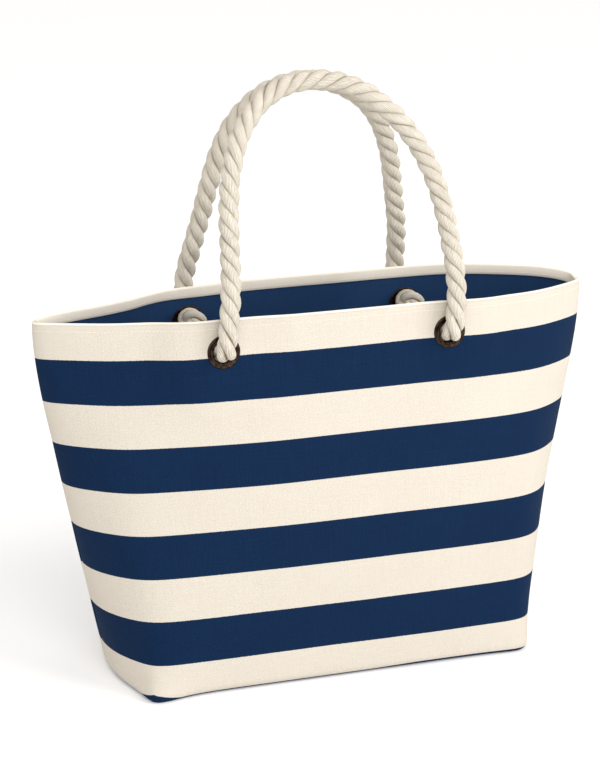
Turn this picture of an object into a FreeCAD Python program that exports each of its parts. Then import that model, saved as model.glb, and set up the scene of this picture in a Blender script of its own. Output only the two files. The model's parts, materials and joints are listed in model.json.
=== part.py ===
"""Striped canvas tote: open top, two twisted rope handles through metal eyelets.

Frame: millimetres, +Z up, origin on the floor under the middle of the base. X runs along the bag,
-Y is the front. The front and back halves of the bag meet at the seam plane, Y = 0.
"""
import FreeCAD, Part
import Sketcher
import math
import os

from FreeCAD import Placement, Rotation, Vector

SIZES = {
    # the sewn shell
    "base_length": 412,        # along the bag, at the floor
    "base_width": 186,
    "bag_height": 378,         # floor to rim
    "mouth_length": 576,       # seam to seam, at the rim
    "mouth_front": 68,         # seam plane to the front of the rim
    "mouth_back": 54,          # seam plane to the back of the rim
    "bend_margin": 8.5,        # eyelet's edge to where the long side of the mouth turns in
    "mouth_end": 18,           # width of the rim where it folds round a side seam
    "canvas": 1.2,
    "lining": 0.8,
    "ply_gap": 0.15,           # air between two layers of cloth
    "hem_height": 11,
    "seam_stack": 2.0,         # folded seam allowance, thickness
    "seam_width": 14,
    "seam_end_gap": 2.0,       # from the end of a seam allowance to the next piece
    # eyelets and rope
    "eyelet_spacing": 234,
    "eyelet_drop": 32,         # rim to eyelet centre
    "eyelet_land": 6,          # width of the eyelet's visible ring
    "eyelet_wall": 0.6,        # barrel
    "eyelet_flange": 1.4,
    "eyelet_fit": 0.25,        # barrel to the cloth and to the washer, on the radius
    "washer_thick": 1.2,
    "rope_dia": 20,
    "rope_clearance": 0.5,     # rope to the eyelet's bore, on the radius
    "hinge_gap": 0.6,          # turning end of a handle to the eyelet's face
    "handle_rise": 248,        # hinge line to the top of the handle's route
    "handle_gap": 1.0,         # between the two handles where they lean together
    "knot_dia": 42,
    "knot_seat_angle": 45,     # how far up the knot its flat seat is cut
}

# The routes of the two handles, from the left hinge point over to the right one. Each point gives
# shares of half the eyelet spacing across, of the inward lean, and of handle_rise upwards.
FRONT_ROUTE = (
    (-1.000, 0.000, 0.000), (-0.986, 0.000, 0.100), (-0.948, 0.080, 0.205), (-0.926, 0.205, 0.325),
    (-0.912, 0.345, 0.450), (-0.888, 0.485, 0.575), (-0.832, 0.635, 0.700), (-0.722, 0.785, 0.830),
    (-0.510, 0.920, 0.940), (-0.240, 1.000, 0.995), (0.060, 1.000, 1.000), (0.330, 0.960, 0.965),
    (0.572, 0.850, 0.880), (0.765, 0.725, 0.775), (0.900, 0.575, 0.650), (0.975, 0.425, 0.520),
    (1.012, 0.280, 0.385), (1.034, 0.140, 0.260), (1.030, 0.030, 0.150), (1.010, 0.000, 0.070),
    (1.000, 0.000, 0.000),
)
BACK_ROUTE = (
    (-1.000, 0.000, 0.000), (-1.012, 0.000, 0.085), (-0.990, 0.080, 0.200), (-0.925, 0.230, 0.335),
    (-0.868, 0.370, 0.465), (-0.822, 0.520, 0.590), (-0.765, 0.660, 0.710), (-0.665, 0.800, 0.820),
    (-0.480, 0.930, 0.925), (-0.230, 1.000, 0.980), (0.050, 1.000, 0.985), (0.320, 0.970, 0.945),
    (0.560, 0.860, 0.860), (0.712, 0.700, 0.740), (0.800, 0.550, 0.615), (0.855, 0.395, 0.485),
    (0.915, 0.250, 0.360), (0.945, 0.120, 0.245), (0.942, 0.030, 0.140), (0.968, 0.000, 0.060),
    (1.000, 0.000, 0.000),
)
ARC_SHARE = 0.45               # part of the shorter run that an arc may take up at each end

FRONT = -1
BACK = 1

# Sizes that follow from the driving ones, as expressions on the sheet.
BORE = "(Sizes.rope_dia / 2 + Sizes.rope_clearance)"
BARREL = f"({BORE} + Sizes.eyelet_wall)"
RIM = f"({BORE} + Sizes.eyelet_land)"
BEND = f"(Sizes.eyelet_spacing / 2 + {RIM} + Sizes.bend_margin)"
EYELET_HEIGHT = "(Sizes.bag_height - Sizes.eyelet_drop)"
END_ROOM = "(Sizes.canvas + Sizes.seam_stack + 2 * Sizes.ply_gap)"
SIDE_ROOM = "(Sizes.canvas + Sizes.ply_gap)"
FACING_END = f"({END_ROOM} + Sizes.lining + Sizes.ply_gap)"
FACING_SIDE = f"({SIDE_ROOM} + Sizes.lining + Sizes.ply_gap)"
STACK = "(Sizes.canvas + Sizes.ply_gap + Sizes.lining)"
INSIDE_FACE = f"({STACK} + Sizes.washer_thick)"

doc = FreeCAD.newDocument("StripedTote")
sheet = doc.addObject("Spreadsheet::Sheet", "Sizes")
for row, (alias, value) in enumerate(SIZES.items(), start=1):
    sheet.set(f"A{row}", alias)
    sheet.set(f"B{row}", str(value))
    sheet.setAlias(f"B{row}", alias)
doc.recompute()

nodes = []                     # every finished piece, in the order it is made


def size(expression):
    """The value of an expression that names cells of the sheet."""
    value = sheet.evalExpression(expression)
    return float(getattr(value, "Value", value))


def keep(piece, name):
    piece.Label = name
    nodes.append(piece)
    return piece


def origin_plane(body, role):
    return next(plane for plane in body.Origin.OriginFeatures if plane.Role == role)


def bind(thing, path, expression):
    thing.setExpression(path, expression)


# ---------------------------------------------------------------- sections of the sewn shell

def share(height):
    """How far up the bag a height is, 0 at the floor and 1 at the rim, as an expression."""
    return f"(({height}) / Sizes.bag_height)"


def between(low, high, height):
    return f"(({low}) * (1 - {share(height)}) + ({high}) * {share(height)})"


def half_section(side, height, inset_x="0", inset_y="0", past="0"):
    """Six corners of one half of the bag's plan at a height, from the left seam to the right seam.

    inset_x and inset_y bring the ends and the long side in, and past carries the open side beyond
    the seam plane.
    """
    depth = "Sizes.mouth_front" if side == FRONT else "Sizes.mouth_back"
    end = between("Sizes.base_length / 2", "Sizes.mouth_length / 2", height) + f" - ({inset_x})"
    fold = between("Sizes.base_width / 2", "Sizes.mouth_end / 2", height) + f" - ({inset_y})"
    wall = between("Sizes.base_width / 2", depth, height) + f" - ({inset_y})"
    sign = "-1" if side == FRONT else "1"
    open_side = f"-({sign}) * ({past})"
    right = ((end, open_side), (end, f"{sign} * ({fold})"), (BEND, f"{sign} * ({wall})"))
    left = tuple((f"-({x})", y) for x, y in right)
    return left + right[::-1]


def outline(body, name, height, corners):
    """A closed polygon sketch at a height, every corner bound to its own two expressions."""
    sketch = body.newObject("Sketcher::SketchObject", name)
    sketch.AttachmentSupport = [(origin_plane(body, "XY_Plane"), "")]
    sketch.MapMode = "FlatFace"
    bind(sketch, "AttachmentOffset.Base.z", height)
    points = [Vector(size(x), size(y), 0) for x, y in corners]
    count = len(points)
    for i, point in enumerate(points):
        sketch.addGeometry(Part.LineSegment(point, points[(i + 1) % count]), False)
    for i in range(count):
        sketch.addConstraint(Sketcher.Constraint("Coincident", i, 2, (i + 1) % count, 1))
    for i, (x, y) in enumerate(corners):
        across = sketch.addConstraint(Sketcher.Constraint("DistanceX", -1, 1, i, 1, points[i].x))
        bind(sketch, f"Constraints[{across}]", x)
        along = sketch.addConstraint(Sketcher.Constraint("DistanceY", -1, 1, i, 1, points[i].y))
        bind(sketch, f"Constraints[{along}]", y)
    return sketch


def loft(body, kind, name, levels):
    """A straight-sided loft through (height, corners) levels, added or cut away."""
    sketches = [outline(body, f"{name}_{i}", height, corners)
                for i, (height, corners) in enumerate(levels)]
    feature = body.newObject(f"PartDesign::{kind}Loft", name)
    feature.Profile = sketches[0]
    feature.Sections = sketches[1:]
    feature.Ruled = True
    doc.recompute()
    return feature


def shell_body(name, side, inset_x, inset_y, thickness, low, high, floor=True):
    """Half of one layer of the bag: a long side, two half ends and, with a floor, half the base."""
    body = doc.addObject("PartDesign::Body", name)
    over = f"{high} + 1"
    inner_x = f"{inset_x} + {thickness}"
    inner_y = f"{inset_y} + {thickness}"
    start = f"{low} + {thickness}" if floor else f"{low} - 1"
    loft(body, "Additive", f"{name}_outside", [
        (height, half_section(side, height, inset_x, inset_y)) for height in (low, high)])
    loft(body, "Subtractive", f"{name}_inside", [
        (height, half_section(side, height, inner_x, inner_y, "1")) for height in (start, over)])
    return body


def lean(side):
    """Angle of the long side from upright, as an expression in degrees."""
    depth = "Sizes.mouth_front" if side == FRONT else "Sizes.mouth_back"
    return f"atan((Sizes.base_width / 2 - {depth}) / Sizes.bag_height)"


def wall_at_eyelet(side):
    depth = "Sizes.mouth_front" if side == FRONT else "Sizes.mouth_back"
    return between("Sizes.base_width / 2", depth, EYELET_HEIGHT)


def pierce(body, name, side):
    """The two eyelet holes of a long side, square to the leaning cloth."""
    sketch = body.newObject("Sketcher::SketchObject", f"{name}_holes_sketch")
    sketch.AttachmentSupport = [(origin_plane(body, "XZ_Plane"), "")]
    sketch.MapMode = "FlatFace"
    sketch.AttachmentOffset = Placement(Vector(0, 0, 0), Rotation(Vector(1, 0, 0), 1))
    sign = "1" if side == FRONT else "-1"
    bind(sketch, "AttachmentOffset.Base.y", EYELET_HEIGHT)
    bind(sketch, "AttachmentOffset.Base.z", f"{sign} * {wall_at_eyelet(side)}")
    bind(sketch, "AttachmentOffset.Rotation.Angle", f"-({sign}) * {lean(side)}")
    hole = f"({BARREL} + Sizes.eyelet_fit)"
    for i, hand in enumerate(("-1", "1")):
        centre = Vector(size(f"{hand} * Sizes.eyelet_spacing / 2"), 0, 0)
        sketch.addGeometry(Part.Circle(centre, Vector(0, 0, 1), size(hole)), False)
        across = sketch.addConstraint(Sketcher.Constraint("DistanceX", -1, 1, i, 3, centre.x))
        bind(sketch, f"Constraints[{across}]", f"{hand} * Sizes.eyelet_spacing / 2")
        sketch.addConstraint(Sketcher.Constraint("PointOnObject", i, 3, -1))
        radius = sketch.addConstraint(Sketcher.Constraint("Radius", i, size(hole)))
        bind(sketch, f"Constraints[{radius}]", hole)
    whole = body.Shape.Volume
    pocket = body.newObject("PartDesign::Pocket", f"{name}_holes")
    pocket.Profile = sketch
    pocket.SideType = "Symmetric"
    bind(pocket, "Length", "Sizes.base_width / 2")
    doc.recompute()
    removed = whole - body.Shape.Volume
    if removed <= 0:
        raise RuntimeError(f"{name}: the eyelet holes cut nothing")


# ---------------------------------------------------------------- cloth

SIDES = (("front", FRONT), ("back", BACK))

for word, side in SIDES:
    panel = shell_body(f"{word}_panel", side, "0", "0", "Sizes.canvas", "0", "Sizes.bag_height")
    pierce(panel, f"{word}_panel", side)
    keep(panel, f"{word}_panel")

for word, side in SIDES:
    layer = shell_body(f"{word}_lining", side, END_ROOM, SIDE_ROOM, "Sizes.lining",
                       END_ROOM, "Sizes.bag_height - Sizes.canvas")
    pierce(layer, f"{word}_lining", side)
    keep(layer, f"{word}_lining")

for word, side in SIDES:
    facing = shell_body(f"{word}_rim_facing", side, FACING_END, FACING_SIDE, "Sizes.canvas",
                        "(Sizes.bag_height - Sizes.hem_height)", "Sizes.bag_height", floor=False)
    keep(facing, f"{word}_rim_facing")


def strip_corners(hand, height):
    """A side seam's folded allowance at a height: it follows the inside of the leaning end."""
    outer = between("Sizes.base_length / 2", "Sizes.mouth_length / 2", height)
    near = f"{hand} * ({outer} - Sizes.canvas - Sizes.ply_gap)"
    far = f"{hand} * ({outer} - Sizes.canvas - Sizes.ply_gap - Sizes.seam_stack)"
    half = "Sizes.seam_width / 2"
    return ((near, f"-({half})"), (far, f"-({half})"), (far, half), (near, half))


SEAM_FLOOR = "(Sizes.canvas + Sizes.ply_gap)"
SEAM_BOTTOM = f"({SEAM_FLOOR} + Sizes.seam_stack + Sizes.seam_end_gap)"
SEAM_TOP = "(Sizes.bag_height - Sizes.hem_height - Sizes.seam_end_gap)"
for word, hand in (("left", "-1"), ("right", "1")):
    seam = doc.addObject("PartDesign::Body", f"{word}_side_seam")
    loft(seam, "Additive", f"{word}_side_seam_strip",
         [(height, strip_corners(hand, height)) for height in (SEAM_BOTTOM, SEAM_TOP)])
    keep(seam, f"{word}_side_seam")

for word, hand in (("left", "-1"), ("right", "1")):
    corner = doc.addObject("Part::Box", f"{word}_corner_seam")
    bind(corner, "Length", "Sizes.seam_width")
    bind(corner, "Width", "Sizes.base_width - 2 * Sizes.canvas - 2 * Sizes.seam_end_gap")
    bind(corner, "Height", "Sizes.seam_stack")
    middle = f"{hand} * (Sizes.base_length / 2 - Sizes.canvas - Sizes.ply_gap - Sizes.seam_width / 2)"
    bind(corner, "Placement.Base.x", f"{middle} - Sizes.seam_width / 2")
    bind(corner, "Placement.Base.y", "-Sizes.base_width / 2 + Sizes.canvas + Sizes.seam_end_gap")
    bind(corner, "Placement.Base.z", SEAM_FLOOR)
    keep(corner, f"{word}_corner_seam")

base_seam = doc.addObject("Part::Box", "base_seam")
run = ("(Sizes.base_length - 2 * (Sizes.canvas + Sizes.ply_gap + Sizes.seam_width"
       " + Sizes.seam_end_gap))")
bind(base_seam, "Length", run)
bind(base_seam, "Width", "Sizes.seam_width")
bind(base_seam, "Height", "Sizes.seam_stack")
bind(base_seam, "Placement.Base.x", f"-{run} / 2")
bind(base_seam, "Placement.Base.y", "-Sizes.seam_width / 2")
bind(base_seam, "Placement.Base.z", SEAM_FLOOR)
keep(base_seam, "base_seam")


# ---------------------------------------------------------------- eyelets, rope ends and knots

CORNERS = [(f"{word}_{where}", side, hand) for word, side in SIDES
           for where, hand in (("left", "-1"), ("right", "1"))]


def seat(piece, side, hand, outward):
    """Places a round piece on an eyelet's axis: local Z points out of the bag, square to the cloth,
    and outward is how far along it, from the cloth's outer face, the piece's own origin lies."""
    sign = "-1" if side == FRONT else "1"
    tilt = lean(side)
    piece.Placement = Placement(Vector(0, 0, 0), Rotation(Vector(1, 0, 0), 1))
    bind(piece, "Placement.Base.x", f"{hand} * Sizes.eyelet_spacing / 2")
    bind(piece, "Placement.Base.y", f"{sign} * ({wall_at_eyelet(side)} + ({outward}) * cos({tilt}))")
    bind(piece, "Placement.Base.z", f"{EYELET_HEIGHT} + ({outward}) * sin({tilt})")
    bind(piece, "Placement.Rotation.Angle", f"-({sign}) * (90 deg - {tilt})")


def turned(name, profile):
    """A ring turned about its own Z axis from a closed profile of (radius, along) expressions."""
    body = doc.addObject("PartDesign::Body", name)
    sketch = body.newObject("Sketcher::SketchObject", f"{name}_profile")
    sketch.AttachmentSupport = [(origin_plane(body, "XZ_Plane"), "")]
    sketch.MapMode = "FlatFace"
    points = [Vector(size(radius), size(along), 0) for radius, along in profile]
    count = len(points)
    for i, point in enumerate(points):
        sketch.addGeometry(Part.LineSegment(point, points[(i + 1) % count]), False)
    for i in range(count):
        sketch.addConstraint(Sketcher.Constraint("Coincident", i, 2, (i + 1) % count, 1))
    for i, (radius, along) in enumerate(profile):
        across = sketch.addConstraint(Sketcher.Constraint("DistanceX", -1, 1, i, 1, points[i].x))
        bind(sketch, f"Constraints[{across}]", radius)
        upward = sketch.addConstraint(Sketcher.Constraint("DistanceY", -1, 1, i, 1, points[i].y))
        bind(sketch, f"Constraints[{upward}]", along)
    ring = body.newObject("PartDesign::Revolution", f"{name}_turned")
    ring.Profile = sketch
    ring.ReferenceAxis = (sketch, ["V_Axis"])
    ring.Angle = 360
    doc.recompute()
    return body


for corner_name, side, hand in CORNERS:
    eyelet = turned(f"{corner_name}_eyelet", (
        (BORE, f"-{INSIDE_FACE}"), (BORE, "Sizes.eyelet_flange"),
        (f"{RIM} - Sizes.eyelet_flange / 2", "Sizes.eyelet_flange"),
        (RIM, "Sizes.eyelet_flange / 2"), (RIM, "0"), (BARREL, "0"), (BARREL, f"-{INSIDE_FACE}")))
    seat(eyelet, side, hand, "0")
    keep(eyelet, f"{corner_name}_eyelet")

for corner_name, side, hand in CORNERS:
    inner = f"({BARREL} + Sizes.eyelet_fit)"
    washer = turned(f"{corner_name}_washer", (
        (inner, f"-{INSIDE_FACE}"), (inner, f"-{STACK}"), (RIM, f"-{STACK}"),
        (RIM, f"-({STACK} + Sizes.washer_thick / 2)"),
        (f"{RIM} - Sizes.washer_thick / 2", f"-{INSIDE_FACE}")))
    seat(washer, side, hand, "0")
    keep(washer, f"{corner_name}_washer")

for corner_name, side, hand in CORNERS:
    tail = doc.addObject("Part::Cylinder", f"{corner_name}_rope_end")
    bind(tail, "Radius", "Sizes.rope_dia / 2")
    bind(tail, "Height", f"{INSIDE_FACE} + Sizes.eyelet_flange")
    seat(tail, side, hand, f"-{INSIDE_FACE}")
    keep(tail, f"{corner_name}_rope_end")

for corner_name, side, hand in CORNERS:
    knot = doc.addObject("Part::Sphere", f"{corner_name}_knot")
    bind(knot, "Radius", "Sizes.knot_dia / 2")
    knot.Angle1 = -90
    bind(knot, "Angle2", "Sizes.knot_seat_angle")
    seat(knot, side, hand, f"-({INSIDE_FACE} + Sizes.knot_dia / 2 * sin(Sizes.knot_seat_angle))")
    keep(knot, f"{corner_name}_knot")


# ---------------------------------------------------------------- rope handles

def hinge_point(side):
    """Where a handle turns: on the eyelet's axis, clear of its face by half the rope and a gap."""
    sign = -1 if side == FRONT else 1
    out = size("Sizes.eyelet_flange + Sizes.hinge_gap + Sizes.rope_dia / 2")
    tilt = math.radians(size(lean(side)))
    return (sign * (size(wall_at_eyelet(side)) + out * math.cos(tilt)),
            size(EYELET_HEIGHT) + out * math.sin(tilt))


def route_points(side, route):
    """The route in millimetres: it leans in until the two handles all but touch."""
    hinge_y, hinge_z = hinge_point(side)
    sign = -1 if side == FRONT else 1
    inner_y = sign * size("(Sizes.rope_dia + Sizes.handle_gap) / 2")
    half = size("Sizes.eyelet_spacing / 2")
    rise = size("Sizes.handle_rise")
    return [Vector(x * half, hinge_y + inward * (inner_y - hinge_y), hinge_z + up * rise)
            for x, inward, up in route]


def rope_path(points, name):
    """Straight runs joined by tangent arcs, each as large as its two runs allow."""
    edges = []
    radii = []
    start = points[0]
    for before, corner, after in zip(points, points[1:], points[2:]):
        arriving = (corner - before).normalize()
        leaving = (after - corner).normalize()
        half_turn = arriving.getAngle(leaving) / 2
        room = ARC_SHARE * min((corner - before).Length, (after - corner).Length)
        radius = room / math.tan(half_turn)
        radii.append(radius)
        first = corner - arriving * room
        last = corner + leaving * room
        to_centre = (leaving - arriving).normalize()
        middle = corner + to_centre * (radius / math.cos(half_turn) - radius)
        edges.append(Part.LineSegment(start, first).toShape())
        edges.append(Part.Arc(first, middle, last).toShape())
        start = last
    edges.append(Part.LineSegment(start, points[-1]).toShape())
    print(f"{name}: tightest radius {min(radii):.0f} mm, radii "
          + " ".join(f"{radius:.0f}" for radius in radii))
    return Part.Wire(edges)


def rope_solid(points, name):
    """A plain round rope along its route, with a half ball at each end that turns in place."""
    path = rope_path(points, name)
    radius = size("Sizes.rope_dia / 2")
    first = (points[1] - points[0]).normalize()
    last = (points[-1] - points[-2]).normalize()
    section = Part.Wire([Part.Circle(points[0], first, radius).toShape()])
    tube = path.makePipeShell([section], True, False)
    if tube.Volume < 0:
        tube.reverse()
    expected = math.pi * radius ** 2 * path.Length
    print(f"{name}: rope {path.Length:.1f} mm, volume {tube.Volume:.0f}, section by length "
          f"{expected:.0f}")
    if abs(tube.Volume / expected - 1) > 0.01:
        raise RuntimeError(f"{name}: the rope's volume is wrong")
    start_ball = Part.makeSphere(radius, points[0], first, -90, 0, 360)
    end_ball = Part.makeSphere(radius, points[-1], last * -1, -90, 0, 360)
    return tube.fuse([start_ball, end_ball])


for (word, side), route in zip(SIDES, (FRONT_ROUTE, BACK_ROUTE)):
    handle = doc.addObject("Part::Feature", f"{word}_handle")
    handle.Shape = rope_solid(route_points(side, route), f"{word}_handle")
    handle.Placement = Placement()
    keep(handle, f"{word}_handle")
    hinge_y, hinge_z = hinge_point(side)
    print(f"{word}_handle: hinge line at y {hinge_y:.3f}, z {hinge_z:.3f}")


# ---------------------------------------------------------------- checks and export

doc.recompute()
for thing in doc.Objects:
    if "Invalid" in thing.State or "Error" in thing.State:
        raise RuntimeError(f"{thing.Label} failed to recompute: {thing.State}")
for piece in nodes:
    shape = piece.Shape
    if shape.isNull() or not shape.isValid() or shape.Volume <= 0:
        raise RuntimeError(f"{piece.Label} has no valid solid")
    if len(shape.Solids) != 1:
        raise RuntimeError(f"{piece.Label} is {len(shape.Solids)} solids, not one")

os.makedirs("parts", exist_ok=True)
for piece in nodes:
    piece.Shape.exportStep(os.path.join("parts", f"{piece.Label}.step"))
    box = piece.Shape.optimalBoundingBox(True)
    print(f"{piece.Label}: {piece.Shape.Volume / 1000:.1f} cm3, x {box.XMin:.1f}..{box.XMax:.1f}, "
          f"y {box.YMin:.1f}..{box.YMax:.1f}, z {box.ZMin:.1f}..{box.ZMax:.1f}")
print(f"{len(nodes)} pieces")
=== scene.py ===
import json

import bpy
import numpy as np
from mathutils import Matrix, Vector


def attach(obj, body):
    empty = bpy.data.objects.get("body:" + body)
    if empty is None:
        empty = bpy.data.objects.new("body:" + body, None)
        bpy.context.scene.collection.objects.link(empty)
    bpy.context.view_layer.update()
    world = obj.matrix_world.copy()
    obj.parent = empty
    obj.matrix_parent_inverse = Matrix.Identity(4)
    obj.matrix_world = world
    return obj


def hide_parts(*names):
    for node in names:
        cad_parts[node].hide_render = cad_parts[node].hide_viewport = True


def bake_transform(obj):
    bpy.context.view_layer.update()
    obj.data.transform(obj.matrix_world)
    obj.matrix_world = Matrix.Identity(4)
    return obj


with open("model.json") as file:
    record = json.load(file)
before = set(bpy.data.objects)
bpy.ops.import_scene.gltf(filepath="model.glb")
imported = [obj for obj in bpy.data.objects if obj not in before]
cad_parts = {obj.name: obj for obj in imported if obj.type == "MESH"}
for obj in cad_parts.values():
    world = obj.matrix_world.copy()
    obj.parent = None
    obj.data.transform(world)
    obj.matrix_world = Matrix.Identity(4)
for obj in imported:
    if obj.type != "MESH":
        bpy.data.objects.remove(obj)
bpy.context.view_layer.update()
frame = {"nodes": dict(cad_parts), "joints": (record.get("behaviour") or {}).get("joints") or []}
SIDES = {"front": -1, "back": 1}
ENDS = {"left": -1, "right": 1}


# The camera stands a little to the left of the bag and above it, two metres away, behind a long lens.
eye = Vector((-0.7301, -2.1080, 0.9518))
looked_at = Vector((-0.0158, 0.0, 0.2866))
bpy.ops.object.camera_add(location=eye, rotation=(looked_at - eye).to_track_quat("-Z", "Y").to_euler())
camera = bpy.context.object
camera.data.lens = 108.4
camera.data.sensor_width = 36
bpy.context.scene.camera = camera


# The two handles. Each is one length of soft cotton rope, three strands laid left-handed, that comes out of
# the eyelet on the left, rises over the mouth and goes into the eyelet on the right. Only the knots inside
# the bag hold it, so it bends sharply at the eyelets.
FLANGE = 0.0014
ROPE = 0.020
STRAND = 0.0052
STRAND_OFFSET = 0.0049
LAY = 0.050
YARNS = 20
HANDLE_RISE = 0.248
HANDLE_GAP = 0.0105
ROUTES = {
    "front": (
        (-0.986, 0.000, 0.100), (-0.948, 0.080, 0.205), (-0.926, 0.205, 0.325), (-0.912, 0.345, 0.450),
        (-0.888, 0.485, 0.575), (-0.832, 0.635, 0.700), (-0.722, 0.785, 0.830), (-0.510, 0.920, 0.940),
        (-0.240, 1.000, 0.995), (0.060, 1.000, 1.000), (0.330, 0.960, 0.965), (0.572, 0.850, 0.880),
        (0.765, 0.725, 0.775), (0.900, 0.575, 0.650), (0.975, 0.425, 0.520), (1.012, 0.280, 0.385),
        (1.034, 0.140, 0.260), (1.030, 0.030, 0.150), (1.010, 0.000, 0.070),
    ),
    "back": (
        (-1.012, 0.000, 0.085), (-0.990, 0.080, 0.200), (-0.925, 0.230, 0.335), (-0.868, 0.370, 0.465),
        (-0.822, 0.520, 0.590), (-0.765, 0.660, 0.710), (-0.665, 0.800, 0.820), (-0.480, 0.930, 0.925),
        (-0.230, 1.000, 0.980), (0.050, 1.000, 0.985), (0.320, 0.970, 0.945), (0.560, 0.860, 0.860),
        (0.712, 0.700, 0.740), (0.800, 0.550, 0.615), (0.855, 0.395, 0.485), (0.915, 0.250, 0.360),
        (0.945, 0.120, 0.245), (0.942, 0.030, 0.140), (0.968, 0.000, 0.060),
    ),
}
# from inside the bag out through the eyelet: how far out of the cloth, and how far above the eyelet's middle
ROPE_ENTRY = ((-0.016, 0.0000), (0.002, 0.0000), (0.0115, 0.0025), (0.0135, 0.0150))


def seat_of(side, end):
    """The middle of the cloth's outer face in an eyelet, and the way that the eyelet faces."""
    corners = np.array([v.co for v in frame["nodes"][f"{side}_{end}_eyelet"].data.vertices])
    middle = corners.mean(0)
    facing = np.linalg.svd(corners - middle, full_matrices=False)[2][2]
    facing *= np.sign(facing[1]) * SIDES[side]
    height = ((corners - middle) @ facing).max() - FLANGE
    return middle + facing * height, facing


def smooth_line(points):
    """The smooth line that a rope with these points lies along, as points close together."""
    curve = bpy.data.curves.new("line", "CURVE")
    curve.dimensions = "3D"
    curve.resolution_u = 24
    spline = curve.splines.new("NURBS")
    spline.points.add(len(points) - 1)
    for point, place in zip(spline.points, points):
        point.co = (*place, 1)
    spline.order_u = 3
    spline.use_endpoint_u = True
    holder = bpy.data.objects.new("line", curve)
    line = np.array([v.co for v in bpy.data.meshes.new_from_object(holder).vertices])
    bpy.data.objects.remove(holder)
    return line


def evenly(line, gap):
    """Points along a line at even gaps, and how far along it each is."""
    along = np.concatenate([[0], np.cumsum(np.linalg.norm(np.diff(line, axis=0), axis=1))])
    places = np.linspace(0, along[-1], round(along[-1] / gap) + 1)
    return np.stack([np.interp(places, along, line[:, k]) for k in range(3)], 1), places


def unit(vectors):
    return vectors / np.linalg.norm(vectors, axis=-1, keepdims=True)


def skin(name, bodies, marks, map_name):
    """A mesh of closed tubes. Each body is an array of rings of points; marks give each point's place on the
    UV map, with one more mark than points in each ring, so that the map meets itself."""
    points, faces, uvs = [], [], []
    start = 0
    for rings, mark in zip(bodies, marks):
        count, around = rings.shape[:2]
        points.append(rings.reshape(-1, 3))
        for i in range(count - 1):
            for j in range(around):
                k = (j + 1) % around
                row = start + i * around
                faces.append((row + j, row + k, row + around + k, row + around + j))
                uvs += [mark[i, j], mark[i, j + 1], mark[i + 1, j + 1], mark[i + 1, j]]
        last = start + (count - 1) * around
        faces.append(tuple(range(start + around - 1, start - 1, -1)))
        uvs += [mark[0, j] for j in range(around - 1, -1, -1)]
        faces.append(tuple(range(last, last + around)))
        uvs += [mark[-1, j] for j in range(around)]
        start += count * around
    mesh = bpy.data.meshes.new(name)
    mesh.from_pydata(np.concatenate(points).tolist(), [], faces)
    mesh.uv_layers.new(name=map_name).data.foreach_set("uv", np.array(uvs, float).reshape(-1))
    mesh.polygons.foreach_set("use_smooth", [True] * len(mesh.polygons))
    piece = bpy.data.objects.new(name, mesh)
    bpy.context.scene.collection.objects.link(piece)
    return piece


def laid_rope(name, line, thickness=1.0, gap=0.002, around=20, ease=0.0):
    """A rope of three strands along a line: each strand winds left-handed about the rope's middle."""
    middle, along = evenly(line, gap)
    ahead = unit(np.gradient(middle, axis=0))
    across = np.zeros_like(ahead)
    side = np.array([0.0, 1.0, 0.0]) if abs(ahead[0][1]) < 0.9 else np.array([1.0, 0.0, 0.0])
    for i, way in enumerate(ahead):
        side = unit(side - way * (side @ way))
        across[i] = side
    upward = np.cross(ahead, across)
    slack = 1 - ease * (np.exp(-((along / 0.05) ** 2)) + np.exp(-(((along[-1] - along) / 0.05) ** 2)))
    turn = -2 * np.pi / (LAY * thickness) * np.concatenate([[0], np.cumsum(slack[1:] * np.diff(along))])
    strands, marks, heights = [], [], []
    corner = np.linspace(0, 2 * np.pi, around + 1)
    for k in range(3):
        angle = turn + 2 * np.pi * k / 3
        wave = 1 + 0.025 * np.sin(along / 0.031 + 2.1 * k) + 0.02 * np.sin(along / 0.0127 + k)
        out = across * np.cos(angle)[:, None] + upward * np.sin(angle)[:, None]
        centre = middle + out * STRAND_OFFSET * thickness
        lead = unit(np.gradient(centre, axis=0))
        out = unit(out - lead * np.sum(out * lead, 1, keepdims=True))
        beside = np.cross(lead, out)
        ring = (out[:, None] * np.cos(corner[:-1])[None, :, None]
                + beside[:, None] * np.sin(corner[:-1])[None, :, None])
        strands.append(centre[:, None] + ring * (STRAND * thickness * wave)[:, None, None])
        from_middle = np.linalg.norm(strands[-1] - middle[:, None], axis=-1) / (ROPE / 2 * thickness)
        heights.append(from_middle.reshape(-1))
        yarn = YARNS * (corner[None, :] / (2 * np.pi) + 1.94 * turn[:, None] / (2 * np.pi))
        marks.append(np.stack([yarn, np.repeat(along[:, None], around + 1, 1) * 100 + 7 * k], -1))
    rope = skin(name, strands, marks, "yarns")
    # how far each point stands from the rope's middle; the rope's material uses it to paint shade into the
    # grooves between the strands
    height = rope.data.attributes.new("height", "FLOAT", "POINT")
    height.data.foreach_set("value", np.concatenate(heights))
    return rope, middle


def turned_outward(piece):
    """The piece with all its faces turned to face out of it."""
    bpy.ops.object.select_all(action="DESELECT")
    bpy.context.view_layer.objects.active = piece
    bpy.ops.object.mode_set(mode="EDIT")
    bpy.ops.mesh.select_all(action="SELECT")
    bpy.ops.mesh.normals_make_consistent(inside=False)
    bpy.ops.object.mode_set(mode="OBJECT")
    return piece


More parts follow.
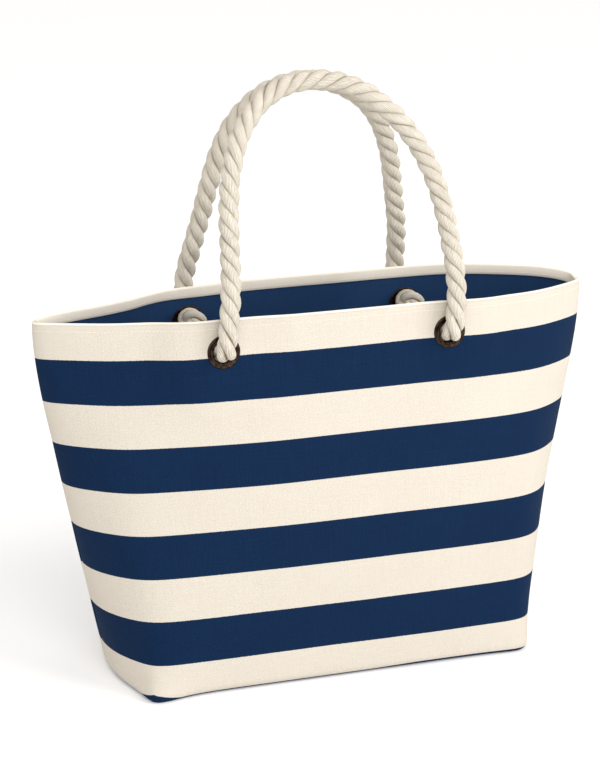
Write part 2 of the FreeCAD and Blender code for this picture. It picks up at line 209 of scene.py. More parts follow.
class Wire:
    """A socket of a material, so that sums on sockets are written as plain arithmetic."""

    def __init__(self, tree, socket=None):
        self.tree = tree
        self.socket = socket

    def node(self, kind, settings=None, values=None, out=0):
        """Adds a node with its settings, then its sockets' values or links, and gives one of its outputs."""
        node = self.tree.nodes.new("ShaderNode" + kind)
        for key, setting in (settings or {}).items():
            setattr(node, key, setting)
        for key, value in (values or {}).items():
            if isinstance(value, Wire):
                self.tree.links.new(value.socket, node.inputs[key])
            else:
                node.inputs[key].default_value = value
        return Wire(self.tree, node.outputs[out])

    def math(self, operation, *values):
        return self.node("Math", {"operation": operation}, dict(enumerate(values)))

    def __add__(self, other):
        return self.math("ADD", self, other)

    def __sub__(self, other):
        return self.math("SUBTRACT", self, other)

    def __rsub__(self, other):
        return self.math("SUBTRACT", other, self)

    def __mul__(self, other):
        return self.math("MULTIPLY", self, other)

    def __truediv__(self, other):
        return self.math("DIVIDE", self, other)

    __radd__ = __add__

    def sine(self):
        return self.math("SINE", self)

    def size(self):
        return self.math("ABSOLUTE", self)

    def clamp(self):
        return self.node("Clamp", None, {0: self})

    def mix(self, first, second):
        """first where this is 0 and second where it is 1, both colours."""
        return self.node("Mix", {"data_type": "RGBA"}, {0: self, 6: first, 7: second}, 2)

    def noise(self, place, scale, detail=2.0, rough=0.5):
        values = {"Vector": place, "Scale": scale, "Detail": detail, "Roughness": rough}
        return self.node("TexNoise", None, values)

    def stretched(self, place, x, y, z=1.0):
        return self.node("Mapping", None, {"Vector": place, "Scale": (x, y, z)})

    def bump(self, height, distance):
        return self.node("Bump", None, {"Height": height, "Distance": distance})


def finish_named(name, roughness, **constants):
    """A new material: returns it, a wire to start its sums from, and its shader."""
    material = bpy.data.materials.new(name)
    material.use_nodes = True
    shader = material.node_tree.nodes["Principled BSDF"]
    shader.inputs["Roughness"].default_value = roughness
    for key, value in constants.items():
        shader.inputs[key.replace("_", " ")].default_value = value
    return material, Wire(material.node_tree), shader


def feed(shader, **links):
    for key, wire in links.items():
        wire.tree.links.new(wire.socket, shader.inputs[key.replace("_", " ")])


def wear(piece, material):
    piece.data.materials.clear()
    piece.data.materials.append(material)


def cotton_rope_finish():
    material, wire, shader = finish_named("cotton_rope", 0.92, Specular_IOR_Level=0.15)
    yarns = wire.node("UVMap", {"uv_map": "yarns"})
    parts = wire.node("SeparateXYZ", None, {0: yarns})
    turn = Wire(parts.tree, parts.socket.node.outputs[0])
    ridge = (turn * np.pi).sine().size()
    fibres = wire.noise(wire.stretched(yarns, 2.4, 0.9), 1.0, 3.0, 0.6)
    place = wire.node("TexCoord", out=3)
    mottle = wire.noise(place, 55.0, 3.0)
    fuzz = wire.noise(place, 900.0, 2.0, 0.7)
    # the cotton's tone varies with its fibres and mottling, and is also painted darker in the gaps between
    # yarns where ridge falls: painted shade
    tone_and_painted_yarn_shade = (ridge * 0.8 + fibres * 1.3 + mottle * 0.5 - 0.80).clamp()
    cotton_with_painted_yarn_shade = tone_and_painted_yarn_shade.mix((0.560, 0.470, 0.350, 1), (0.930, 0.875, 0.770, 1))
    # painted shade: each strand's colour turns dark brown where it sinks towards the rope's middle, in the
    # grooves between the strands
    height = wire.node("Attribute", {"attribute_name": "height"}, out=2)
    clear_of_painted_groove_shade = ((height - 0.66) * 6.5).clamp()
    feed(shader,
         Base_Color=clear_of_painted_groove_shade.mix((0.270, 0.190, 0.115, 1), cotton_with_painted_yarn_shade),
         Normal=wire.bump(ridge * 0.6 + fibres * 0.7 + fuzz * 0.35, 0.0015))
    return material


rope_finish = cotton_rope_finish()
seats = {(side, end): seat_of(side, end) for side in SIDES for end in ENDS}
hinges = {j["child"]: np.array(j["pos_m"]) for j in frame["joints"]}
for side, sign in SIDES.items():
    hinge = hinges[f"{side}_handle"]
    inner = sign * HANDLE_GAP
    points = [(across * seats[side, "right"][0][0],
               hinge[1] + inward * (inner - hinge[1]),
               hinge[2] + up * HANDLE_RISE) for across, inward, up in ROUTES[side]]
    entries = {}
    for end in ENDS:
        face = seats[side, end][0]
        entries[end] = [(face[0], face[1] + sign * out, face[2] + up) for out, up in ROPE_ENTRY]
    line = smooth_line(entries["left"] + points + entries["right"][::-1])
    rope, middle = laid_rope(f"{side}_rope", line, ease=0.14)
    wear(rope, rope_finish)
    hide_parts(f"{side}_handle", f"{side}_left_rope_end", f"{side}_right_rope_end")
    cloth_y = seats[side, "left"][0][1]
    cloth_y + sign * 0.002
    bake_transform(rope)


# The bag's outside: two pieces of heavy canvas printed with navy bands, sewn together down both ends and
# along the middle of the base. The cloth hangs from its mouth, stands a little full, and turns under in a
# soft roll at the base, where the boxed corners are sewn across.
CUT_WIDTH = 0.600
MOUTH_END = 0.3343
WALL = 0.3795
FULLNESS = 0.0015
BASE_ROUNDING = 0.018
MOUTH_ROUNDING = 0.0591
EDGE_ROLL = 0.011
# where the mouth stands widest: along the bag, and out from its middle, for each of its two bends
MOUTH_BENDS = {"front": ((-0.0819, 0.0731), (0.1490, 0.0772)), "back": ((-0.1092, 0.0466), (0.1735, 0.0635))}
# half of the base's outline: its ends bow out between the boxed corners
FOOT = ((-0.2220, 0), (-0.2170, 0.045), (-0.1910, 0.0922), (0.2025, 0.0922), (0.2155, 0.045), (0.2175, 0))
END_SWELL = 0.010
BACK_LIFT = 0.007
FRONT_DIP = 0.003
CANVAS = 0.00125
HOLE = 0.0114
FIRST_BAND = 0.0368
BAND = 0.0438
LOW_BAND = 0.3770
# how far the cloth is drawn to each eyelet, and how far round it lies flat
EYELET_DROP = 0.032
PULL_WIDTH = 0.095
PULL_DEPTH = 0.15
FLAT_CORE = 0.019
FLAT_REACH = 0.078
SEAM_MEETS = 0.04
# the soft unevenness of the cloth, broad and fine
SWELL = 0.0008
RIPPLE = 0.00022
CANVAS_PITCH = 0.0011
# how far each boxed corner stands out, how far it reaches along the cloth, and how much of the wall it takes
CORNER = 0.203
CORNER_TIP = {"left": 0.019, "right": 0.008}
CORNER_REACH = 0.024
CORNER_HEIGHT = 0.17
# the lowest band's half width, and how much higher it starts at the left corner and on the right
LOW_BAND_HALF = 0.018
LOW_BAND_LEFT = 0.007
LOW_BAND_RIGHT = 0.002
HEM_ROLL = 0.0018
SEAM_BULK = 0.0020
SEAM_REACH = 0.016
FINE = 241


def outline(side, corners, rounding):
    """Half of the bag's outline at one level, from its left seam to its right one, rounded by this much."""
    corners = np.array(corners)
    along = np.concatenate([[0], np.cumsum(np.linalg.norm(np.diff(corners, axis=0), axis=1))])
    places = np.linspace(0, along[-1], FINE)
    line = np.stack([np.interp(places, along, corners[:, k]) for k in range(2)], 1)
    spread = rounding / (along[-1] / (FINE - 1))
    reach = FINE // 3
    bell = np.exp(-0.5 * (np.arange(-reach, reach + 1) / spread) ** 2)
    mirror = np.array([1, -1])
    whole = np.concatenate([line[1:reach + 1][::-1] * mirror, line, line[-reach - 1:-1][::-1] * mirror])
    smooth = np.stack([np.convolve(whole[:, k], bell / bell.sum(), "valid") for k in range(2)], 1)
    return smooth * (1, SIDES[side])


near_seam = CUT_WIDTH / 2 - np.array([0.0, 0.0005, 0.001, 0.0016, 0.0024, 0.0034])
columns = np.concatenate([-near_seam, np.linspace(-0.295, 0.295, 119), near_seam[::-1]])
fine_columns = np.linspace(-CUT_WIDTH / 2, CUT_WIDTH / 2, FINE)
WALL_STRAIGHT = WALL - EDGE_ROLL
WALL_END = WALL_STRAIGHT + EDGE_ROLL * np.pi / 2
drops = np.concatenate([np.linspace(0, WALL_STRAIGHT, 183), np.linspace(WALL_STRAIGHT, WALL_END, 19)[1:]])


def at_columns(line):
    return np.stack([np.interp(columns, fine_columns, line[:, k]) for k in range(line.shape[1])], 1)


def outer_face(side):
    """The canvas's outer face as rows of points, from the rim down and round to the floor."""
    sign = SIDES[side]
    rim = outline(side, ((-MOUTH_END, 0), *MOUTH_BENDS[side], (MOUTH_END, 0)), MOUTH_ROUNDING)
    foot = outline(side, FOOT, BASE_ROUNDING)
    height = np.sqrt(WALL ** 2 - np.sum((rim - foot) ** 2, 1))
    along = fine_columns / fine_columns[-1]
    if side == "back":
        height += BACK_LIFT * (1 - along ** 4) * (1 + 0.35 * along)
    else:
        height -= FRONT_DIP * np.exp(-((along - 0.6) / 0.3) ** 2)
    way = np.gradient(foot, axis=0)
    inward = unit(np.stack([-way[:, 1], way[:, 0]], 1)) * -sign
    # the boxed corners stand out in soft points where they meet the floor
    from_corner = {end: np.abs(fine_columns - ENDS[end] * CORNER) / CORNER_REACH for end in ENDS}
    tip = sum(CORNER_TIP[end] * np.exp(-from_corner[end] ** 1.3) for end in ENDS)
    rows = []
    for drop in drops:
        share, inset = 1 - drop / WALL, 0.0
        if drop > WALL_STRAIGHT:
            angle = (drop - WALL_STRAIGHT) / EDGE_ROLL
            share = EDGE_ROLL / WALL * (1 - np.sin(angle))
            inset = EDGE_ROLL * (1 - np.cos(angle))
        full = FULLNESS * 4 * share * (1 - share) * (1 - along ** 4)
        point = tip * np.clip(1 - share / CORNER_HEIGHT, 0, 1) ** 2.2
        row = share * rim + (1 - share) * foot + inward * (inset - full - point)[:, None]
        row[:, 0] += END_SWELL * share * (1 - share ** 9) * along ** 3
        rows.append(at_columns(np.column_stack([row, share * height])))
    return np.array(rows)


def facing_out(places, side):
    """The outward direction of a face laid out as rows of points."""
    down, across = np.gradient(places, axis=0), np.gradient(places, axis=1)
    return unit(np.cross(down, across)) * -SIDES[side]


faces = {side: outer_face(side) for side in SIDES}
# the two halves meet at the end seams
for column, end in ((0, "left"), (-1, "right")):
    shared = (faces["front"][:, column] + faces["back"][:, column]) / 2
    shared[:, 1] = 0
    for side in SIDES:
        near = np.exp(-(CUT_WIDTH / 2 - columns * ENDS[end]) / SEAM_MEETS)
        gap = shared - faces[side][:, column]
        faces[side] = faces[side] + gap[:, None] * near[None, :, None]
# the cloth lies flat behind each eyelet
for side in SIDES:
    places = faces[side]
    for end in ENDS:
        seat = seats[side, end][0]
        away = np.hypot(places[..., 0] - seat[0], places[..., 2] - seat[2])
        nearest = np.unravel_index(away.argmin(), away.shape)
        shift = (seat[1] - places[nearest][1]) * np.exp(-((places[..., 0] - seat[0]) / PULL_WIDTH) ** 2)
        fade = np.exp(-(np.maximum(drops - EYELET_DROP, 0) / PULL_DEPTH) ** 2)
        places[..., 1] += shift * fade[:, None]
    for end in ENDS:
        seat, facing = seats[side, end]
        off = (places - seat) @ facing
        reach = np.linalg.norm(places - seat, axis=-1)
        flat = np.clip((FLAT_REACH - reach) / (FLAT_REACH - FLAT_CORE), 0, 1)
        places -= (off * flat * flat * (3 - 2 * flat))[..., None] * facing
outward = {side: facing_out(faces[side], side) for side in SIDES}
for side in SIDES:
    x, z = faces[side][..., 0], faces[side][..., 2]
    shade = np.sin(x / 0.041 + z / 0.19 + SIDES[side]) * np.sin(z / 0.057 + x / 0.13 + 1.3)
    ripple = np.sin(x / 0.0173 - z / 0.031) * np.sin(z / 0.026 + x / 0.047 + 0.6)
    calm = np.ones_like(x)
    for end in ENDS:
        seat = seats[side, end][0]
        calm *= 1 - np.exp(-(np.linalg.norm(faces[side] - seat, axis=-1) / 0.035) ** 4)
    low = np.clip((faces[side][..., 2] - 0.01) / 0.03, 0, 1)
    faces[side] = faces[side] + outward[side] * ((SWELL * shade + RIPPLE * ripple) * calm * low)[..., None]


def in_cloth(side, at_drops, depth):
    """Points that lie at these drops below the rim, and this deep behind the canvas's outer face."""
    at_drops = np.atleast_1d(at_drops)
    row = np.clip(np.searchsorted(drops, at_drops) - 1, 0, len(drops) - 2)
    part = ((at_drops - drops[row]) / (drops[row + 1] - drops[row]))[:, None, None]
    place = faces[side][row] * (1 - part) + faces[side][row + 1] * part
    way = unit(outward[side][row] * (1 - part) + outward[side][row + 1] * part)
    depth = np.broadcast_to(depth, place.shape[:2])
    return place - way * depth[..., None]


def cut_cloth(name, places, cut):
    """A flat cut of cloth whose rows and columns of points are laid where places says. cut is where each
    point lies on the flat piece, in metres."""
    rows, count = places.shape[:2]
    bpy.ops.object.select_all(action="DESELECT")
    bpy.ops.mesh.primitive_grid_add(x_subdivisions=count - 1, y_subdivisions=rows - 1, size=1)
    piece = bpy.context.object
    piece.name = name
    mesh = piece.data
    mesh.vertices.foreach_set("co", places.reshape(-1))
    owner = np.empty(len(mesh.loops), int)
    mesh.loops.foreach_get("vertex_index", owner)
    mesh.uv_layers[0].name = "cloth"
    mesh.uv_layers[0].data.foreach_set("uv", cut.reshape(-1, 2)[owner].reshape(-1))
    mesh.polygons.foreach_set("use_smooth", [True] * len(mesh.polygons))
    mesh.update()
    return piece


def apply(piece, kind, **settings):
    """Adds a modifier to the piece and applies it."""
    bpy.ops.object.select_all(action="DESELECT")
    bpy.context.view_layer.objects.active = piece
    piece.select_set(True)
    modifier = piece.modifiers.new(kind.lower(), kind)
    for key, value in settings.items():
        setattr(modifier, key, value)
    bpy.ops.object.modifier_apply(modifier=modifier.name)


def joined(name, pieces):
    """Several pieces as one."""
    bpy.ops.object.select_all(action="DESELECT")
    for piece in pieces:
        piece.select_set(True)
    bpy.context.view_layer.objects.active = pieces[0]
    bpy.ops.object.join()
    pieces[0].name = name
    return pieces[0]


def half_of_base(name, side, edge, level, first_cut):
    """The half of the base that is one piece with a wall: from the wall's bottom edge to the middle seam."""
    sign = SIDES[side]
    steps = np.sin(np.linspace(-np.pi / 2, np.pi / 2, 61))
    x = steps * (edge[:, 0].max() - 0.0004)
    order = np.argsort(edge[:, 0])
    out = np.abs(np.interp(x, edge[order, 0], edge[order, 1]))
    shares = np.linspace(0, 1, 25)[:, None]
    y = out[None, :] * (1 - shares)
    places = np.stack([np.broadcast_to(x, y.shape), sign * y, np.full(y.shape, level)], -1)
    cut = np.stack([places[..., 0], first_cut + np.abs(edge[:, 1]).max() - y], -1)
    if side == "front":
        places, cut = places[::-1], cut[::-1]
    return cut_cloth(name, places, cut)


def shell_of_cloth(name, side, at_drops, depth, thickness, lowest):
    """One wall and its half of the base, as cloth of a thickness, with the eyelets' holes cut."""
    places = in_cloth(side, at_drops, depth)
    places[..., 2] = np.maximum(places[..., 2], lowest)
    cut = np.stack(np.broadcast_arrays(columns[None, :], at_drops[:, None]), -1)
    edge = places[-1]
    if side == "front":
        wall = cut_cloth(name, places[::-1], cut[::-1])
    else:
        wall = cut_cloth(name, places, cut)
    base = half_of_base(name + "_base", side, edge, lowest, at_drops[-1])
    apply(wall, "SOLIDIFY", thickness=thickness, offset=-1)
    apply(base, "SOLIDIFY", thickness=thickness, offset=-1)
    for end in ENDS:
        seat, facing = seats[side, end]
        bpy.ops.object.select_all(action="DESELECT")
        bpy.ops.mesh.primitive_cylinder_add(vertices=48, radius=HOLE, depth=0.03, location=seat)
        bpy.context.object.rotation_euler = Vector(facing).to_track_quat("Z", "Y").to_euler()
        punch = bpy.context.object
        apply(wall, "BOOLEAN", operation="DIFFERENCE", solver="EXACT", object=punch)
        bpy.data.objects.remove(punch)
    return joined(name, [wall, base])


def weave(wire, pitch):
    """The height and the colour change of a plain weave whose threads are this far apart."""
    cloth = wire.node("UVMap", {"uv_map": "cloth"})
    parts = wire.node("SeparateXYZ", None, {0: cloth}).socket.node
    across, down = (Wire(wire.tree, parts.outputs[k]) for k in (0, 1))
    over = (across * (np.pi / pitch)).sine() * (down * (np.pi / pitch)).sine()
    warp = wire.noise(wire.stretched(cloth, 1 / pitch, 28), 1.0, 2.0)
    weft = wire.noise(wire.stretched(cloth, 28, 1 / pitch), 1.0, 2.0)
    slub = warp * 0.55 + weft * 0.45
    return over * 0.5 + slub * 0.9, slub, across, down, cloth


def canvas_finish(name, thin, full, banded=False):
    """Undyed canvas between two tones, with the printed bands or without them."""
    material, wire, shader = finish_named(name, 0.88, Specular_IOR_Level=0.12)
    height, slub, across, down, cloth = weave(wire, CANVAS_PITCH)
    patches = wire.noise(cloth, 14.0, 3.0)
    tone = (slub * 1.3 + patches * 0.5 - 0.4).clamp()
    colour = tone.mix(thin, full)
    if banded:
        edge = wire.noise(cloth, 700.0, 1.0) * 0.0006
        place = (down + edge - 0.0003 - FIRST_BAND) / BAND
        band = (place * np.pi).sine() * 40 + 1.3
        # the lowest band starts where the cloth turns under, and a little above that at the corners
        left = (1 - (across + CORNER).size() / CORNER_REACH).clamp() * LOW_BAND_LEFT
        right = ((across - 0.03) * 20).clamp() * LOW_BAND_RIGHT
        below = down + edge - LOW_BAND + left + right
        turned_under = ((LOW_BAND_HALF - (below - LOW_BAND_HALF).size()) * 1500).clamp()
        ink = tone.mix((0.0015, 0.0115, 0.0405, 1), (0.0030, 0.0195, 0.0610, 1))
        colour = (band.clamp() + turned_under).clamp().mix(colour, ink)
    feed(shader, Base_Color=colour, Normal=wire.bump(height, 0.00022))
    return material


striped_finish = canvas_finish("striped_canvas", (0.570, 0.513, 0.432, 1), (0.642, 0.592, 0.518, 1), True)
# painted light: this copy of the same canvas, without the bands, has tones about 40% brighter than the
# banded one, lighting the hem that lies in the mouth's shade; the seams and the stitches wear it too
canvas_painted_brighter_finish = canvas_finish("natural_canvas", (0.800, 0.735, 0.635, 1), (0.880, 0.825, 0.735, 1))
wall_drops = np.concatenate([[HEM_ROLL], np.arange(0.005, WALL_STRAIGHT, 0.004), drops[183:]])
seam_pull = 0.0011 * np.exp(-((CUT_WIDTH / 2 - np.abs(columns)) / 0.0011) ** 2)
for side in SIDES:
    canvas = shell_of_cloth(f"{side}_canvas", side, wall_drops, seam_pull[None, :], CANVAS, 0.0)
    wear(canvas, striped_finish)
    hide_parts(f"{side}_panel")
    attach(canvas, "bag")


# The lining: two pieces of thin navy cotton, cut as the outside is and sewn in with it at the rim, so that
# it lies close behind the canvas and over the seams' edges.
LINING = 0.00075
LINING_DEPTH = 0.00155
LINING_LOW = 0.0043
LINING_PITCH = 0.0008
bulk = SEAM_BULK * np.clip((np.abs(columns) - (CUT_WIDTH / 2 - SEAM_REACH - 0.006)) / 0.006, 0, 1)


def lining_finish():
    material, wire, shader = finish_named("navy_lining", 0.85, Specular_IOR_Level=0.12)
    height, slub, _, _, cloth = weave(wire, LINING_PITCH)
    tone = (slub * 1.4 + wire.noise(cloth, 18.0, 2.0) * 0.4 - 0.4).clamp()
    feed(shader, Base_Color=tone.mix((0.0090, 0.0300, 0.0860, 1), (0.0150, 0.0480, 0.1250, 1)),
         Normal=wire.bump(height, 0.00015))
    return material


navy_finish = lining_finish()
lining_drops = np.concatenate([[0.0040], np.arange(0.008, WALL_STRAIGHT, 0.005), drops[183:-3]])
for side in SIDES:
    depth = LINING_DEPTH + bulk[None, :]
    lining = shell_of_cloth(f"{side}_lining_cloth", side, lining_drops, depth, LINING, LINING_LOW)
    wear(lining, navy_finish)
    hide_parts(f"{side}_lining")
    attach(lining, "bag")


# The hem: a strip of natural canvas turned over the rim of each side and sewn down through all the layers,
# which leaves a narrow pale band inside the mouth.
HEM_INSIDE = 0.0037
HEM_DEPTH = 0.0110
STITCH_DROP = 0.0085
STITCH_EVERY = 0.0036
STITCH = 0.0029
THREAD = 0.00020


def hem_profile(inside):
    """The hem's section as (depth, drop) points, for a stack of layers this thick."""
    half = inside / 2
    bow = np.linspace(0, np.pi, 11)
    outer = np.stack([half - half * np.cos(bow), HEM_ROLL - HEM_ROLL * np.sin(bow)], 1)
    tip = [(inside, HEM_DEPTH), (inside - 0.0003, HEM_DEPTH + 0.0004), (inside - 0.0009, HEM_DEPTH + 0.0004),
           (inside - CANVAS, HEM_DEPTH)]
    low = half - CANVAS
    inner = np.stack([half + low * np.cos(bow), HEM_ROLL - (HEM_ROLL - CANVAS * 0.8) * np.sin(bow)], 1)
    return np.concatenate([outer, [(inside, 0.005)], tip, [(inside - CANVAS, 0.005)], inner])


def stitches(name, rows):
    """Lock stitches along rows of points: each is a short bead of thread that dips at both ends."""
    beads, marks = [], []
    angles = np.linspace(0, 2 * np.pi, 7)
    for places, way in rows:
        steps = np.concatenate([[0], np.cumsum(np.linalg.norm(np.diff(places, axis=0), axis=1))])
        for start in np.arange(0.004, steps[-1] - 0.006, STITCH_EVERY):
            at = start + STITCH * np.array([0.0, 0.12, 0.35, 0.65, 0.88, 1.0])
            spot = np.stack([np.interp(at, steps, places[:, k]) for k in range(3)], 1)
            up = unit(np.stack([np.interp(at, steps, way[:, k]) for k in range(3)], 1))
            ahead = unit(np.gradient(spot, axis=0))
            beside = np.cross(ahead, up)
            rise = THREAD * np.array([-0.9, 0.1, 0.75, 0.75, 0.1, -0.9])
            ring = (beside[:, None] * np.cos(angles[:-1])[None, :, None]
                    + up[:, None] * np.sin(angles[:-1])[None, :, None]) * THREAD
            beads.append(spot[:, None] + up[:, None] * rise[:, None, None] + ring)
            marks.append(np.stack(np.broadcast_arrays(angles[None, :], at[:, None] * 100), -1))
    return turned_outward(skin(name, beads, marks, "yarns"))


for side in SIDES:
    sections = [hem_profile(inside) for inside in HEM_INSIDE + bulk]
    depths = np.array([section[:, 0] for section in sections]).T
    fall = sections[0][:, 1]
    places = np.array([in_cloth(side, fall[k], depths[k])[0] for k in range(len(fall))]).transpose(1, 0, 2)
    if side == "front":
        places = places[:, ::-1]
    sides = np.linalg.norm(np.diff(sections[60], axis=0), axis=1)
    round_about = np.concatenate([[0], np.cumsum(sides), [0.03]])
    mark = np.stack(np.broadcast_arrays(columns[:, None], round_about[None, :]), -1)
    hem = skin(f"{side}_hem", [places], [mark], "cloth")
    # the hem wears the canvas copy painted brighter: painted light inside the mouth
    wear(hem, canvas_painted_brighter_finish)
    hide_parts(f"{side}_rim_facing")
    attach(hem, "bag")
    outside = in_cloth(side, STITCH_DROP, 0.0)[0]
    inside = in_cloth(side, STITCH_DROP, (HEM_INSIDE + bulk)[None, :])[0]
    way = in_cloth(side, STITCH_DROP, -1.0)[0] - outside
    thread = stitches(f"{side}_hem_stitches", [(outside, way), (inside, -way)])
    wear(thread, canvas_painted_brighter_finish)
    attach(thread, "bag")


# The seams: the raw edges of the canvas turned in and overlocked, down both ends, across both boxed
# corners and along the middle of the base. They lie between the canvas and the lining.
SEAM_HALF = 0.0145
SEAM_LIFT = 0.0002
CORNER_INSET = 0.018
CORNER_HALF = 0.070
BASE_SEAM_HALF = 0.172


def flat_strip(name, upper, lower, width_marks):
    """A strip between two faces of points that lie over each other."""
    rings = np.concatenate([upper, lower[:, ::-1]], 1)
    mark = np.zeros((rings.shape[0], rings.shape[1] + 1, 2))
    mark[:, :, 0] = np.linspace(0, width_marks, rings.shape[1] + 1)[None, :]
    mark[:, :, 1] = np.linspace(0, 0.36, rings.shape[0])[:, None]
    return turned_outward(skin(name, [rings], [mark], "cloth"))


seam_columns = {"left": np.where(columns < -CUT_WIDTH / 2 + SEAM_HALF)[0],
                "right": np.where(columns > CUT_WIDTH / 2 - SEAM_HALF)[0]}
seam_drops = np.concatenate([np.arange(0.005, WALL_STRAIGHT, 0.006), drops[183:-8]])
for end, sign in ENDS.items():
    layers = []
    for depth in (CANVAS + SEAM_LIFT, CANVAS + SEAM_BULK):
        halves = {side: in_cloth(side, seam_drops, depth)[:, seam_columns[end]] for side in SIDES}
        outer, inner = halves["front"], halves["back"]
        if end == "left":
            outer = outer[:, ::-1]
            layers.append(np.concatenate([outer[:, :-1], inner[:, 1:]], 1))
        else:
            layers.append(np.concatenate([outer[:, :-1], inner[:, ::-1][:, 1:]], 1))
    strip = flat_strip(f"{end}_seam_edges", layers[0], layers[1], 0.03)
    foot = (faces["front"][-1][:, 0] * sign).max()
    inset = foot - CORNER_INSET
    y = np.linspace(-CORNER_HALF, CORNER_HALF, 29)
    x = sign * np.array([inset, inset - 0.005, inset - 0.010, inset - 0.014])
    grid = np.stack(np.meshgrid(x, y), -1)
    bottom = np.concatenate([grid, np.full((*grid.shape[:2], 1), CANVAS + SEAM_LIFT)], -1)
    top = bottom + (0, 0, SEAM_BULK - SEAM_LIFT)
    corner = flat_strip(f"{end}_corner_edges", top, bottom, 0.02)
    for piece, node in ((strip, f"{end}_side_seam"), (corner, f"{end}_corner_seam")):
        wear(piece, canvas_painted_brighter_finish)
        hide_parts(node)
        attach(piece, "bag")
x = np.linspace(-BASE_SEAM_HALF, BASE_SEAM_HALF, 59)
grid = np.stack(np.meshgrid(np.linspace(-0.007, 0.007, 5), x), -1)[..., ::-1]
bottom = np.concatenate([grid, np.full((*grid.shape[:2], 1), CANVAS + SEAM_LIFT)], -1)
middle_seam = flat_strip("base_seam_edges", bottom + (0, 0, SEAM_BULK - SEAM_LIFT), bottom, 0.014)
wear(middle_seam, canvas_painted_brighter_finish)
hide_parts("base_seam")
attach(middle_seam, "bag")


# The eyelets: brass with a dark antique finish, each a flanged barrel pushed through from outside and
# rolled over a washer on the lining's side.
STACK = 0.00335
EYELET_OUT = (
    (0.01650, 0.0000), (0.01650, 0.0005), (0.01610, 0.0012), (0.01540, 0.0016), (0.01470, 0.0016),
    (0.01400, 0.0012), (0.01310, 0.0010), (0.01220, 0.0012), (0.01130, 0.0013), (0.01070, 0.0009),
    (0.01050, 0.0002), (0.01050, -0.0020), (0.01050, -0.0044), (0.01080, -0.0051), (0.01140, -0.0054),
    (0.01200, -0.0051), (0.01200, -0.0047), (0.01120, -0.0046), (0.01110, -0.0030), (0.01110, -0.0002),
    (0.01500, -0.0001),
)
WASHER = (
    (0.01650, -0.0037), (0.01650, -0.0040), (0.01600, -0.0045), (0.01530, -0.0046), (0.01420, -0.0043),
    (0.01300, -0.0044), (0.01180, -0.0046), (0.01130, -0.0044), (0.01130, -0.0035), (0.01600, -0.0034),
)


def turned(name, profile, seat, facing):
    """A ring with this section of (radius, height) points, turned about the way that it faces."""
    bpy.ops.object.select_all(action="DESELECT")
    radius, height = profile[0]
    bpy.ops.mesh.primitive_circle_add(vertices=72, radius=radius, location=(0, 0, 0))
    ring = bpy.context.object
    ring.name = name
    bpy.ops.object.mode_set(mode="EDIT")
    bpy.ops.mesh.select_all(action="SELECT")
    bpy.ops.transform.translate(value=(0, 0, height))
    for next_radius, next_height in profile[1:]:
        bpy.ops.mesh.extrude_edges_move(TRANSFORM_OT_translate={"value": (0, 0, next_height - height)})
        share = next_radius / radius
        bpy.ops.transform.resize(value=(share, share, 1), center_override=(0, 0, next_height))
        radius, height = next_radius, next_height
    bpy.ops.mesh.select_all(action="DESELECT")
    bpy.ops.mesh.select_mode(type="EDGE")
    bpy.ops.mesh.select_non_manifold()
    bpy.ops.mesh.bridge_edge_loops()
    bpy.ops.mesh.select_all(action="SELECT")
    bpy.ops.mesh.normals_make_consistent(inside=False)
    bpy.ops.object.mode_set(mode="OBJECT")
    bpy.ops.object.shade_smooth()
    ring.rotation_euler = Vector(facing).to_track_quat("Z", "Y").to_euler()
    ring.location = seat
    bpy.ops.object.transform_apply(location=True, rotation=True, scale=True)
    return ring


def bronze_finish():
    material, wire, shader = finish_named("antique_brass", 0.38, Metallic=1.0)
    place = wire.node("TexCoord", out=3)
    cloud = wire.noise(place, 260.0, 4.0, 0.6)
    fine = wire.noise(place, 1400.0, 2.0)
    worn = (cloud * 2.2 - 0.9).clamp()
    feed(shader, Base_Color=worn.mix((0.022, 0.013, 0.010, 1), (0.125, 0.078, 0.050, 1)),
         Roughness=0.28 + cloud * 0.25, Normal=wire.bump(cloud * 0.7 + fine * 0.3, 0.00012))
    return material


bronze = bronze_finish()
for side in SIDES:
    for end in ENDS:
        for kind, profile in (("eyelet", EYELET_OUT), ("washer", WASHER)):
            ring = turned(f"{side}_{end}_{kind}_ring", profile, *seats[side, end])
            wear(ring, bronze)
            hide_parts(f"{side}_{end}_{kind}")
            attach(ring, "bag")


# The knots: each rope's end, tied in an overhand knot and pulled up hard against the washer, with a short
# tail left below it.
KNOT_SIZE = 0.0042
KNOT_DEPTH = 0.0070
KNOT_ROPE = 0.80
KNOT_DROP = 0.0015
KNOT_BACK = 0.0165
TAIL_BACK = 0.016


def knot_line(seat, facing):
    """The closed loop of an overhand knot behind an eyelet: it crosses itself three times."""
    across = np.array([1.0, 0.0, 0.0])
    upward = np.cross(facing, across)
    upward *= np.sign(upward[2])
    turn = np.linspace(0.0, 2 * np.pi + 0.12, 180)
    x = np.sin(turn) + 2 * np.sin(2 * turn)
    z = -np.cos(turn) + 2 * np.cos(2 * turn)
    centre = seat - facing * (STACK + KNOT_BACK) - upward * KNOT_DROP
    return (centre + across * (x * KNOT_SIZE)[:, None] + upward * (z * KNOT_SIZE)[:, None]
            + facing * (np.sin(3 * turn) * KNOT_DEPTH)[:, None])


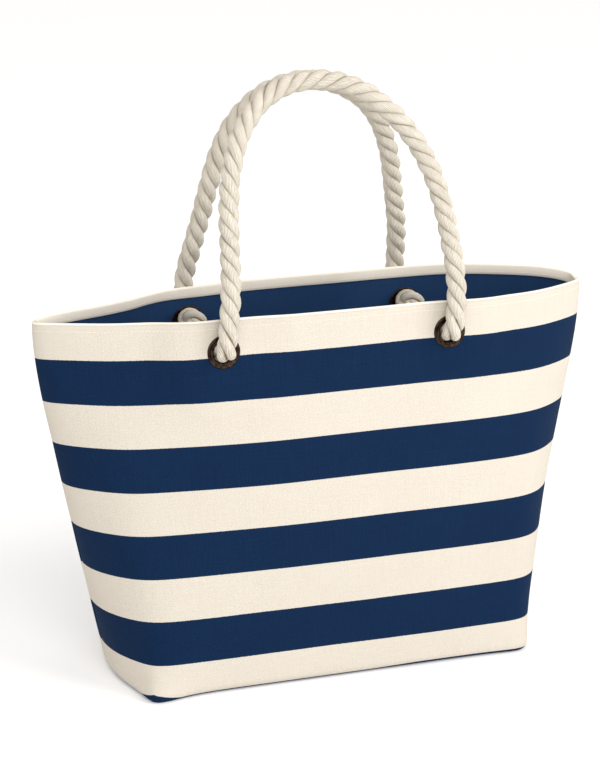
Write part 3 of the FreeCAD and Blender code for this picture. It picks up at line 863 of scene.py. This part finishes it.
for side in SIDES:
    for end in ENDS:
        seat, facing = seats[side, end]
        loop, _ = laid_rope(f"{side}_{end}_loop", knot_line(seat, facing), KNOT_ROPE)
        low = seat - facing * (STACK + TAIL_BACK)
        tail_points = [low, low - facing * 0.012 - np.array([0, 0, 0.004]),
                       low - facing * 0.017 - np.array([0, 0, 0.016])]
        tail, _ = laid_rope(f"{side}_{end}_tail", smooth_line(tail_points), KNOT_ROPE)
        knot = joined(f"{side}_{end}_overhand_knot", [loop, tail])
        wear(knot, rope_finish)
        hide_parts(f"{side}_{end}_knot")
        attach(knot, "bag")


# The room: a pale floor, with painted shade close to the bag and painted light further off, that runs on
# into a white surround, a broad soft light high on the right, another high on the left that reaches into the
# mouth, and a low one behind the camera.
bpy.ops.object.select_all(action="DESELECT")
bpy.ops.mesh.primitive_plane_add(size=14, location=(0, 0, 0))
floor = bpy.context.object
floor.name = "floor"
# it glows a little, as a lit acrylic table does, so that only the shadow close to the bag shows
glow = {"Emission_Color": (1, 1, 1, 1), "Emission_Strength": 0.17}
floor_finish, floor_wire, floor_shader = finish_named("pale_floor", 0.9, **glow)
# painted shade and light: the floor's colour is darkest within 0.45 m of the middle and brightest beyond
# about 1.65 m, where less lamp light reaches
distance = floor_wire.node("VectorMath", {"operation": "LENGTH"}, {0: floor_wire.node("TexCoord", out=3)}, 1)
painted_brighter_further_off = ((distance - 0.45) / 1.2).clamp()
feed(floor_shader, Base_Color=painted_brighter_further_off.mix((0.84, 0.84, 0.84, 1), (0.95, 0.95, 0.95, 1)))
wear(floor, floor_finish)

world = bpy.data.worlds.new("white_room")
world.use_nodes = True
world.node_tree.nodes["Background"].inputs["Color"].default_value = (1.0, 0.985, 0.965, 1)
world.node_tree.nodes["Background"].inputs["Strength"].default_value = 0.84
bpy.context.scene.world = world
for place, size, energy in (((2.1, -1.9, 2.1), 1.6, 52.0), ((-0.5, -2.5, 2.3), 1.6, 34.0),
                            ((0.3, -2.8, 0.7), 1.6, 6.0)):
    way = Vector((0, 0, 0.2)) - Vector(place)
    bpy.ops.object.light_add(type="AREA", location=place, rotation=way.to_track_quat("-Z", "Y").to_euler())
    bpy.context.object.data.energy = energy
    bpy.context.object.data.size = size
bpy.context.scene.view_settings.view_transform = "Standard"
